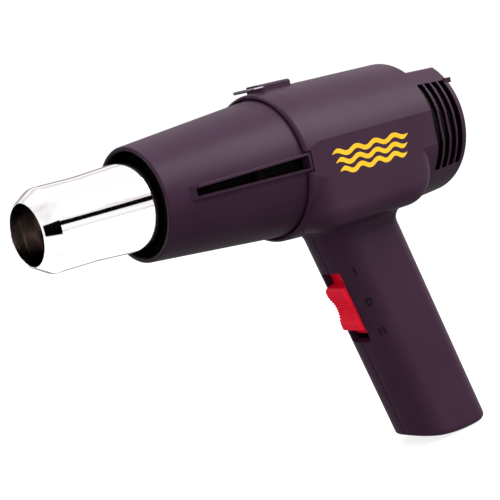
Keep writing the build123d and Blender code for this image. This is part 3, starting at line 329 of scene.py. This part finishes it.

# ---- Nozzle tube ----
# Spun from stainless sheet, polished outside, with its mouth rolled in.
# The bore is tinted bronze by the heat, and its tint also carries a painted reflection and painted shade.
# The rear flange is hidden in the shroud and is screwed to the air duct.


def lathe(profile, steps=160):
    """Turns a closed outline of (x, radius) about the barrel axis.

    Returns the bmesh and its faces by outline edge.
    """
    shape = bmesh.new()
    rings = []
    for x, radius in profile:
        ring = []
        for index in range(steps):
            turn = math.tau * index / steps
            ring.append(shape.verts.new((x, radius * math.cos(turn), radius * math.sin(turn))))
        rings.append(ring)
    bands = []
    for first, second in zip(rings, rings[1:] + rings[:1]):
        band = [shape.faces.new((first[i], first[(i + 1) % steps], second[(i + 1) % steps], second[i]))
                for i in range(steps)]
        bands.append(band)
    bmesh.ops.recalc_face_normals(shape, faces=shape.faces)
    return shape, bands


def soften(points, radius, steps=6):
    """Rounds every inner corner of an open outline with a short curve."""
    out = [points[0]]
    for before, here, after in zip(points, points[1:], points[2:]):
        here_v = Vector(here)
        toward = Vector(before) - here_v
        onward = Vector(after) - here_v
        reach = min(radius, toward.length * 0.45, onward.length * 0.45)
        start = here_v + toward.normalized() * reach
        end = here_v + onward.normalized() * reach
        for step in range(steps + 1):
            t = step / steps
            point = start * (1 - t) ** 2 + here_v * 2 * t * (1 - t) + end * t ** 2
            out.append((point.x, point.y))
    out.append(points[-1])
    return out


tube_low, tube_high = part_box("nozzle_tube")
flange = tube_high.y
flange_front = tube_high.x - 0.001
seat_end = 0.022
taper_end = 0.0502
seat_radius, seat_bore = 0.0200, 0.0192
rear_radius, rear_bore = 0.0217, 0.0209
lip = (tube_low.x + 0.0004, 0.01435)
outer_line = soften([
    lip, (tube_low.x, 0.0147), (tube_low.x + 0.0006, 0.01535), (0.0, seat_radius), (seat_end, seat_radius),
    (taper_end, rear_radius), (flange_front, rear_radius), (flange_front, flange),
], 0.0016)
inner_line = soften([
    (tube_high.x, flange), (tube_high.x, rear_bore), (taper_end, rear_bore), (seat_end, seat_bore),
    (0.0002, seat_bore), (tube_low.x + 0.0011, 0.01460), lip,
], 0.0014)
# Painted shade: behind shade_start the tube's outside, deep in the shroud, takes the near-black steel.
shade_start = 0.0640
shape, bands = lathe(outer_line + inner_line[:-1])
for index, band in enumerate(bands):
    bore_side = index >= len(outer_line) + 1
    for face in band:
        in_shroud = face.calc_center_median().x > shade_start
        face.material_index = 1 if bore_side else 2 if in_shroud else 0


def recolour(material, pattern, first, second):
    """Gives a finish other base colours, blended by a pattern of its own."""
    tree = material.node_tree
    shader = tree.nodes["Principled BSDF"]
    tree.links.new(blend_colours(tree, pattern, first, second), shader.inputs["Base Color"])


steel = finish("polished_stainless", (0.93, 0.915, 0.92), (0.90, 0.88, 0.885), (0.035, 0.075), grain=900.0,
               depth=0.0000012, patch=60.0, stretch=(1.0, 0.08, 0.08), metal=1.0)
streaks = noise(steel.node_tree, 150.0, 3.0, (0.02, 1.0, 1.0))
faint = spread(steel.node_tree, streaks.outputs["Fac"], 0.0, 1.0, 0.50, 0.70)
recolour(steel, faint, (0.975, 0.96, 0.965), (0.76, 0.70, 0.72))
bore_tint_and_reflection = finish("heat_tinted_bore_with_painted_reflection", (0.50, 0.36, 0.30), (0.30, 0.19, 0.15), (0.14, 0.26), grain=900.0,
                depth=0.000004, patch=90.0, stretch=(3.0, 0.1, 0.1), metal=0.9, specular=0.05)
# Painted reflection: the tint runs from pale bronze at the sides to near black above and below, standing in
# for the bright and dark lobes that the turned bore mirrors.
bore = bore_tint_and_reflection.node_tree
bore_along, bore_up = axis_distance(bore)[1:3]
wander = noise(bore, 180.0, 3.0)
bore_steepness = calculate(bore, "ABSOLUTE", bore_up, 0.0)
wandering = calculate(bore, "MULTIPLY", wander.outputs["Fac"], 0.30)
mirrored_lobes = spread(bore, calculate(bore, "ADD", bore_steepness, wandering), 0.0, 1.0, 0.35, 0.70)
recolour(bore_tint_and_reflection, mirrored_lobes, (1.0, 0.80, 0.72), (0.020, 0.007, 0.006))
# Painted shade: the bore is painted darker from x = 0 to 20 mm further in, as the shade deeper in the tube.
darken(bore_tint_and_reflection, spread(bore, bore_along, 1.0, 0.12, start=0.0, end=0.020), (0.030, 0.012, 0.010))
# Painted shade: a near-black steel for the tube inside the shroud, the heat shield and the nozzle screws.
painted_shade_steel = finish("painted_shade_sheet_steel", (0.003, 0.002, 0.003), (0.006, 0.004, 0.005), (0.6, 0.75),
                   grain=1100.0, depth=0.00001, patch=70.0, stretch=(2.0, 0.1, 0.1), specular=0.03)
nozzle_skin = piece("nozzle_skin", shape, steel, "tool")
nozzle_skin.data.materials.append(bore_tint_and_reflection)
nozzle_skin.data.materials.append(painted_shade_steel)
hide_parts("nozzle_tube")

# ---- Hang ring ----
# Bright spring wire bent to a closed loop and sprung into the boss on top of the barrel.
ring_steel = finish("bright_spring_wire", (0.20, 0.18, 0.19), (0.11, 0.10, 0.11), (0.22, 0.38), grain=1800.0,
                    depth=0.000004, patch=200.0, metal=1.0)
dress(ring_steel, "hang_ring")

# ---- Slide switch ----
# Thumb slider moulded in signal red, with a ribbed hollow between two end knobs.
# It carries a brass bridge over the tabs of the black switch block behind it.
red = finish("signal_red_nylon", (0.92, 0.006, 0.036), (0.82, 0.005, 0.030), (0.38, 0.50), grain=2600.0,
             depth=0.000012, patch=90.0, specular=0.12)
dress(red, "switch_slider")
switch_black = finish("switch_block_phenolic", (0.012, 0.012, 0.013), (0.02, 0.02, 0.021), (0.35, 0.5))
dress(switch_black, "switch_body", "motor_end_bell")
sheet_brass = finish("sheet_brass", (0.80, 0.56, 0.22), (0.70, 0.46, 0.18), (0.18, 0.34), grain=1500.0,
                     depth=0.000004, patch=160.0, stretch=(1.0, 0.1, 0.1), metal=1.0)
dress(sheet_brass, "switch_contact", "switch_terminals")

# ---- Heater ----
# Mica sleeve and crossed mica plates carry turns of resistance wire on a pierced ceramic base.
mica = finish("phlogopite_mica", (0.78, 0.58, 0.50), (0.52, 0.36, 0.30), (0.25, 0.5), grain=420.0,
              depth=0.00003, patch=120.0, specular=0.6)
dress(mica, "mica_plate_flat")
# The sleeve and the upright plate take a near-black mica, the flat plate a pale one.
dark_mica = finish("near_black_mica", (0.030, 0.013, 0.011), (0.014, 0.006, 0.006), (0.25, 0.5),
                    grain=420.0, depth=0.00003, patch=160.0, specular=0.35)
dress(dark_mica, "mica_sleeve", "mica_plate_upright")
wire = finish("oxidised_resistance_wire", (0.30, 0.27, 0.25), (0.16, 0.14, 0.14), (0.3, 0.5), grain=1800.0,
              depth=0.000006, patch=180.0, metal=1.0)


def grow(name, sizes, plan, material, body):
    """Runs a Geometry Nodes plan with named sizes and keeps its result as a plain mesh on a body."""
    tree = bpy.data.node_groups.new(name, "GeometryNodeTree")
    tree.interface.new_socket("Geometry", in_out="OUTPUT", socket_type="NodeSocketGeometry")
    sockets = {}
    for label, value in sizes.items():
        kind = "NodeSocketInt" if isinstance(value, int) else "NodeSocketFloat"
        sockets[label] = tree.interface.new_socket(label, in_out="INPUT", socket_type=kind).identifier
    given = tree.nodes.new("NodeGroupInput")
    realize = tree.nodes.new("GeometryNodeRealizeInstances")
    paint = tree.nodes.new("GeometryNodeSetMaterial")
    paint.inputs["Material"].default_value = material
    result = tree.nodes.new("NodeGroupOutput")
    tree.links.new(plan(tree, given.outputs), realize.inputs["Geometry"])
    tree.links.new(realize.outputs["Geometry"], paint.inputs["Geometry"])
    tree.links.new(paint.outputs["Geometry"], result.inputs["Geometry"])
    seed = bpy.data.objects.new(name + "_seed", bpy.data.meshes.new(name + "_seed"))
    bpy.context.scene.collection.objects.link(seed)
    growth = seed.modifiers.new("growth", "NODES")
    growth.node_group = tree
    for label, value in sizes.items():
        growth[sockets[label]] = value
    grown = seed.evaluated_get(bpy.context.evaluated_depsgraph_get())
    mesh = bpy.data.meshes.new_from_object(grown)
    mesh.name = name
    seed.modifiers.remove(growth)
    bpy.data.objects.remove(seed)
    made = bpy.data.objects.new(name, mesh)
    bpy.context.scene.collection.objects.link(made)
    mesh.polygons.foreach_set("use_smooth", [True] * len(mesh.polygons))
    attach(made, body)
    return made


def add_node(tree, kind, **inputs):
    """A node with its inputs set to sockets or plain values, by input name with spaces as underscores."""
    node = tree.nodes.new(kind)
    for label, value in inputs.items():
        socket = node.inputs[label.replace("_", " ")]
        if isinstance(value, bpy.types.NodeSocket):
            tree.links.new(value, socket)
        else:
            socket.default_value = value
    return node


def vector(tree, x=0.0, y=0.0, z=0.0):
    """A vector made of sockets or numbers."""
    return add_node(tree, "ShaderNodeCombineXYZ", X=x, Y=y, Z=z).outputs["Vector"]


def thicken(tree, path, radius, sides):
    """Gives a path a round section."""
    section = add_node(tree, "GeometryNodeCurvePrimitiveCircle", Radius=radius, Resolution=sides)
    return add_node(tree, "GeometryNodeCurveToMesh", Curve=path, Profile_Curve=section.outputs["Curve"],
                    Fill_Caps=True).outputs["Mesh"]


def move(tree, shape, turn=None, shift=None):
    """Turns a shape about the origin and then shifts it."""
    mover = add_node(tree, "GeometryNodeTransform", Geometry=shape)
    if turn is not None:
        mover.inputs["Rotation"].default_value = turn
    if shift is not None:
        tree.links.new(shift, mover.inputs["Translation"])
    return mover.outputs["Geometry"]


def spin(tree, shape, count, first, step):
    """Repeats a shape about the barrel axis, from a first angle and a step."""
    line = add_node(tree, "GeometryNodeMeshLine", Count=count, Offset=(0.0, 0.0, 0.0))
    index = tree.nodes.new("GeometryNodeInputIndex").outputs["Index"]
    angle = calculate(tree, "ADD", calculate(tree, "MULTIPLY", index, step), first)
    return add_node(tree, "GeometryNodeInstanceOnPoints", Points=line.outputs["Mesh"], Instance=shape,
                    Rotation=vector(tree, x=angle)).outputs["Instances"]


def line_up(tree, shape, count, first, pitch):
    """Repeats a shape along the barrel from a first place."""
    line = add_node(tree, "GeometryNodeMeshLine", Count=count, Start_Location=vector(tree, x=first),
                    Offset=vector(tree, x=pitch))
    return add_node(tree, "GeometryNodeInstanceOnPoints", Points=line.outputs["Mesh"],
                    Instance=shape).outputs["Instances"]


def coiled_wire(tree, given):
    """Fine loops of wire, side by side round every turn of the element."""
    loop = add_node(tree, "GeometryNodeCurvePrimitiveCircle", Radius=given["Loop radius"], Resolution=10)
    wire_loop = thicken(tree, loop.outputs["Curve"], given["Wire radius"], 4)
    standing = move(tree, wire_loop, turn=(math.pi / 2, 0.0, 0.0))
    raised = move(tree, standing, shift=vector(tree, z=given["Turn radius"]))
    turn = spin(tree, raised, given["Loops"], 0.0, calculate(tree, "DIVIDE", math.tau, given["Loops"]))
    return line_up(tree, turn, given["Turns"], given["First"], given["Pitch"])


coil_low, coil_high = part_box("heater_coils")
bundle_radius = 0.0006
coil_turns = 12
coil_sizes = {
    "Loop radius": 0.00045,
    "Wire radius": 0.00013,
    "Turn radius": coil_high.z - bundle_radius,
    "Loops": 100,
    "Turns": coil_turns,
    "First": coil_low.x + bundle_radius,
    "Pitch": (coil_high.x - coil_low.x - 2 * bundle_radius) / (coil_turns - 1),
}
heating_coil = grow("coiled_resistance_wire", coil_sizes, coiled_wire, wire, "tool")
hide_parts("heater_coils")
steatite = finish("steatite_ceramic", (0.74, 0.70, 0.62), (0.64, 0.60, 0.52), (0.5, 0.7), grain=900.0,
                  depth=0.00004, patch=90.0)
dress(steatite, "heater_base")
pressed = finish("pressed_aluminium", (0.72, 0.72, 0.73), (0.62, 0.62, 0.64), (0.2, 0.35), grain=1200.0,
                 depth=0.000005, patch=180.0, metal=1.0)
dress(pressed, "thermal_cutout")
plated = finish("zinc_plated_steel", (0.66, 0.66, 0.68), (0.52, 0.53, 0.56), (0.2, 0.36), grain=1400.0,
                depth=0.000005, patch=220.0, metal=1.0)
dress(plated, "clamp_screws", "housing_screws", "motor_can")

# ---- Intake screens ----
# Blackened wire cloth that keeps dust out of the fan, bent round and clipped in behind the vents.
screen_wire = finish("blackened_screen_wire", (0.006, 0.006, 0.007), (0.012, 0.011, 0.012), (0.5, 0.7),
                     grain=900.0, depth=0.00002, patch=700.0, specular=0.2)


def woven_screen(tree, given):
    """Hoops round the barrel crossed by straight wires along it, on both sides of the housing."""
    arc = add_node(tree, "GeometryNodeCurveArc", Resolution=40, Radius=given["Radius"],
                   Start_Angle=given["Hoop start"], Sweep_Angle=given["Sweep"])
    arc_wire = thicken(tree, arc.outputs["Curve"], given["Wire radius"], 4)
    hoop = move(tree, arc_wire, turn=(0.0, math.pi / 2, 0.0))
    hoops = line_up(tree, hoop, given["Hoops"], given["First"], given["Pitch"])
    last = calculate(tree, "ADD", given["First"], given["Width"])
    bar = add_node(tree, "GeometryNodeCurvePrimitiveLine",
                   Start=vector(tree, x=given["First"], z=given["Radius"]),
                   End=vector(tree, x=last, z=given["Radius"]))
    bars = spin(tree, thicken(tree, bar.outputs["Curve"], given["Wire radius"], 4), given["Bars"],
                given["Bar start"], calculate(tree, "DIVIDE", given["Sweep"], given["Bars"]))
    side = tree.nodes.new("GeometryNodeJoinGeometry")
    both = tree.nodes.new("GeometryNodeJoinGeometry")
    tree.links.new(hoops, side.inputs["Geometry"])
    tree.links.new(bars, side.inputs["Geometry"])
    tree.links.new(side.outputs["Geometry"], both.inputs["Geometry"])
    far_side = move(tree, side.outputs["Geometry"], turn=(math.pi, 0.0, 0.0))
    tree.links.new(far_side, both.inputs["Geometry"])
    return both.outputs["Geometry"]


screen_low, screen_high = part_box("intake_screens")
screen_wire_radius = 0.0002
hoop_count = 28
screen_width = screen_high.x - screen_low.x - 2 * screen_wire_radius
screen_sweep = 2 * math.asin(screen_high.z / screen_high.y)
screen_sizes = {
    "Radius": screen_high.y - 0.0003,
    "Wire radius": screen_wire_radius,
    "First": screen_low.x + screen_wire_radius,
    "Width": screen_width,
    "Pitch": screen_width / (hoop_count - 1),
    "Hoops": hoop_count,
    "Bars": 56,
    "Hoop start": -math.pi / 2 - screen_sweep / 2,
    "Bar start": math.pi / 2 - screen_sweep / 2,
    "Sweep": screen_sweep,
}
wire_cloth = grow("intake_wire_cloth", screen_sizes, woven_screen, screen_wire, "tool")
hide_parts("intake_screens")

# ---- Heat shield ----
# Sleeve of sheet steel around the tube's rear half, glimpsed through the shroud's slots; its near-black tone
# is painted shade.
dress(painted_shade_steel, "heat_shield", "nozzle_screws")

# ---- Air duct and fan ----
# The duct gathers the fan's air into the tube; both are moulded in heat-resistant, glass-filled resin.
# Painted shade: the duct's resin is given a near-black tone, as the shade seen through the shroud's slots.
duct_resin = finish("duct_resin", (0.004, 0.003, 0.004), (0.008, 0.006, 0.007), (0.55, 0.7), grain=1300.0,
                    depth=0.00003, patch=50.0, specular=0.08)
dress(duct_resin, "air_duct")
fan_resin = finish("fan_resin", (0.62, 0.60, 0.54), (0.54, 0.52, 0.46), (0.35, 0.5), grain=1600.0,
                   depth=0.00002, patch=60.0)
dress(fan_resin, "fan_impeller")

# ---- Motor ----
# Small direct-current motor: drawn can, ferrite magnets, slotted armature, carbon brushes and bronze bushes.
shaft_steel = finish("ground_shaft_steel", (0.66, 0.66, 0.68), (0.58, 0.58, 0.60), (0.12, 0.24), grain=1800.0,
                     depth=0.000003, patch=300.0, stretch=(3.0, 0.1, 0.1), metal=1.0)
dress(shaft_steel, "motor_shaft")
laminations = finish("lacquered_laminations", (0.16, 0.15, 0.15), (0.10, 0.095, 0.095), (0.35, 0.5),
                     grain=2000.0, depth=0.00003, patch=200.0, stretch=(1.0, 0.02, 0.02), metal=0.6)
dress(laminations, "motor_rotor")
copper = finish("segment_copper", (0.80, 0.36, 0.20), (0.66, 0.27, 0.14), (0.2, 0.4), grain=1600.0,
                depth=0.000005, patch=260.0, metal=1.0)
dress(copper, "commutator")


def coil_windings(tree, given):
    """One rounded bundle of wire round each tooth of the armature."""
    loop = add_node(tree, "GeometryNodeCurvePrimitiveQuadrilateral",
                    Width=given["Length"], Height=given["Span"])
    bend = add_node(tree, "GeometryNodeFilletCurve", Curve=loop.outputs["Curve"], Radius=given["Bend"])
    bundle = thicken(tree, bend.outputs["Curve"], given["Bundle radius"], 14)
    seated = move(tree, bundle, shift=vector(tree, x=given["Middle"], z=given["Tooth depth"]))
    step = calculate(tree, "DIVIDE", math.tau, given["Teeth"])
    return spin(tree, seated, given["Teeth"], given["First angle"], step)


stack_low, stack_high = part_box("motor_rotor")
winding_sizes = {
    "Length": stack_high.x - stack_low.x + 0.0016,
    "Span": 0.0094,
    "Bend": 0.0022,
    "Bundle radius": 0.0011,
    "Middle": (stack_low.x + stack_high.x) / 2,
    "Tooth depth": 0.0065,
    "Teeth": 5,
    "First angle": math.radians(-54.0),
}
enamel = finish("enamelled_copper", (0.56, 0.17, 0.06), (0.42, 0.11, 0.04), (0.18, 0.32), grain=2600.0,
                depth=0.00008, patch=220.0, stretch=(0.1, 1.0, 1.0), metal=0.8)
windings = grow("armature_windings", winding_sizes, coil_windings, enamel, "rotor")
ferrite = finish("ferrite", (0.045, 0.045, 0.05), (0.03, 0.03, 0.034), (0.55, 0.75), grain=1500.0,
                 depth=0.00004, patch=120.0)
dress(ferrite, "motor_magnets", "motor_brushes")
bronze = finish("sintered_bronze", (0.55, 0.36, 0.16), (0.42, 0.27, 0.11), (0.4, 0.6), grain=2200.0,
                depth=0.00002, patch=200.0, metal=0.9)
dress(bronze, "motor_bushes")
rubber = finish("damping_rubber", (0.018, 0.018, 0.019), (0.026, 0.025, 0.026), (0.6, 0.8), grain=1100.0,
                depth=0.00003, patch=80.0)
dress(rubber, "motor_dampers", "cord_gland")
board = finish("paper_phenolic_board", (0.36, 0.24, 0.07), (0.30, 0.19, 0.05), (0.4, 0.6), grain=900.0,
               depth=0.00002, patch=90.0)
dress(board, "rectifier_board")
epoxy = finish("diode_epoxy", (0.012, 0.012, 0.013), (0.02, 0.02, 0.022), (0.2, 0.35))
dress(epoxy, "rectifier_diodes")

# ---- Wiring and cord entry ----
# Insulated leads run from the board to the switch and from the switch to the cord clamp.
red_lead = finish("red_lead_insulation", (0.42, 0.02, 0.02), (0.36, 0.015, 0.015), (0.3, 0.45),
                  grain=1200.0)
dress(red_lead, "motor_leads")
blue_lead = finish("blue_lead_insulation", (0.02, 0.07, 0.32), (0.015, 0.055, 0.27), (0.3, 0.45),
                   grain=1200.0)
dress(blue_lead, "supply_leads")
clamp_resin = finish("clamp_resin", (0.02, 0.02, 0.022), (0.03, 0.03, 0.032), (0.4, 0.55))
dress(clamp_resin, "cord_clamp")

# ---- Studio ----
# Seamless white table and surround, a softbox above the tool's left side and a weaker one overhead.
# Black and grey cards, seen only as reflections, draw the lines and edges of the polished steel.


def lit_surface(name, base, glow, strength, rough=0.5):
    """A material without shine that adds light of its own."""
    material = bpy.data.materials.new(name)
    material.use_nodes = True
    shader = material.node_tree.nodes["Principled BSDF"]
    shader.inputs["Base Color"].default_value = (*base, 1.0)
    shader.inputs["Roughness"].default_value = rough
    shader.inputs["Specular IOR Level"].default_value = 0.0
    shader.inputs["Emission Color"].default_value = (*glow, 1.0)
    shader.inputs["Emission Strength"].default_value = strength
    return material


table_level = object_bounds()[0].z - 0.0005
table_half = 6.0
floor_shape = bmesh.new()
for x, y in ((-table_half, -table_half), (table_half, -table_half), (table_half, table_half),
             (-table_half, table_half)):
    floor_shape.verts.new((x, y, table_level))
floor_shape.faces.new(floor_shape.verts)
floor_mesh = bpy.data.meshes.new("table_top")
floor_shape.to_mesh(floor_mesh)
floor_shape.free()
table_top = bpy.data.objects.new("table_top", floor_mesh)
bpy.context.scene.collection.objects.link(table_top)
floor_mesh.materials.append(lit_surface("white_laminate", (0.30, 0.30, 0.30), (1.0, 1.0, 1.0), 0.82, 0.9))
table_top.visible_diffuse = table_top.visible_glossy = False

world = bpy.data.worlds.new("white_surround")
world.use_nodes = True
sky = world.node_tree
sky_place = sky.nodes.new("ShaderNodeTexCoord")
sky_split = sky.nodes.new("ShaderNodeSeparateXYZ")
sky_fade = sky.nodes.new("ShaderNodeMapRange")
for socket, value in zip(("From Min", "From Max", "To Min", "To Max"), (-0.35, -0.05, 0.35, 1.03)):
    sky_fade.inputs[socket].default_value = value
sky.links.new(sky_place.outputs["Generated"], sky_split.inputs["Vector"])
sky.links.new(sky_split.outputs["Z"], sky_fade.inputs["Value"])
sky.links.new(sky_fade.outputs["Result"], sky.nodes["Background"].inputs["Strength"])
sky.nodes["Background"].inputs["Color"].default_value = (1.0, 1.0, 1.0, 1.0)
bpy.context.scene.world = world


def softbox(name, centre, aim, size, power):
    """A square softbox that faces a point."""
    lamp = bpy.data.lights.new(name, "AREA")
    lamp.shape = "RECTANGLE"
    lamp.size, lamp.size_y = size
    lamp.energy = power
    box = bpy.data.objects.new(name, lamp)
    box.location = centre
    box.rotation_mode = "QUATERNION"
    box.rotation_quaternion = (Vector(aim) - Vector(centre)).to_track_quat("-Z", "Y")
    bpy.context.scene.collection.objects.link(box)
    return box


softbox("main_softbox", (0.85, -0.75, 0.85), (0.15, 0.0, 0.0), (0.8, 0.8), 16.0)
softbox("overhead_softbox", (0.1, 0.3, 1.2), (0.13, 0.0, 0.0), (1.0, 0.8), 6.0)
# A white card lies under the tube and is lit for the polished steel alone.
card_light = softbox("steel_card", (0.2, -0.55, -0.3), (0.2, -0.55, 0.0), (3.0, 1.9), 18.0)
polished_only = bpy.data.collections.new("polished_only")
polished_only.objects.link(nozzle_skin)
card_light.light_linking.receiver_collection = polished_only


def flag(name, corner, opposite, tone=0.0):
    """A card across the Y direction that only mirrored light meets, so that it draws a line on the steel."""
    card = bmesh.new()
    left, depth, bottom = corner
    right_edge, _, top = opposite
    for x, z in ((left, bottom), (right_edge, bottom), (right_edge, top), (left, top)):
        card.verts.new((x, depth, z))
    card.faces.new(card.verts)
    mesh = bpy.data.meshes.new(name)
    card.to_mesh(mesh)
    card.free()
    mesh.materials.append(lit_surface(name + "_velvet", (0.0, 0.0, 0.0), (1.0, 0.93, 0.96), tone))
    made = bpy.data.objects.new(name, mesh)
    made.visible_camera = made.visible_diffuse = made.visible_shadow = made.visible_transmission = False
    bpy.context.scene.collection.objects.link(made)


flag("long_flag", (-0.46, -1.0, 0.105), (0.85, -1.0, 0.305))
flag("front_flag", (-0.95, -1.0, -0.38), (-0.45, -1.0, 0.38))
flag("edge_flag", (-0.8, 1.0, 0.02), (2.6, 1.0, 0.52), tone=0.42)
flag("shoulder_flag", (-0.8, 1.0, 0.80), (2.6, 1.0, 1.15), tone=0.80)

# ---- Camera ----
# Stands low in front of the tool's left side and is rolled so that the barrel climbs to the right.
turn, lift, roll = math.radians(-37.5), math.radians(7.0), math.radians(-12.8)
back = Vector((math.sin(turn) * math.cos(lift), -math.cos(turn) * math.cos(lift), math.sin(lift)))
level = Vector((math.cos(turn), math.sin(turn), 0.0))
upright = back.cross(level)
right = level * math.cos(roll) + upright * math.sin(roll)
above = upright * math.cos(roll) - level * math.sin(roll)
aim = Vector((0.1287, 0.0, 0.0)) - right * 0.00484 - above * 0.0403
distance = 0.675
lens = bpy.data.cameras.new("camera")
lens.sensor_width = 36.0
lens.lens = 96.48
lens.clip_start = 0.05
camera = bpy.data.objects.new("camera", lens)
camera.matrix_world = Matrix((
    (right.x, above.x, back.x, 0.0), (right.y, above.y, back.y, 0.0), (right.z, above.z, back.z, 0.0),
    (0.0, 0.0, 0.0, 1.0),
))
camera.location = aim + back * distance
bpy.context.scene.collection.objects.link(camera)
bpy.context.scene.camera = camera
bpy.context.scene.view_settings.view_transform = "Standard"
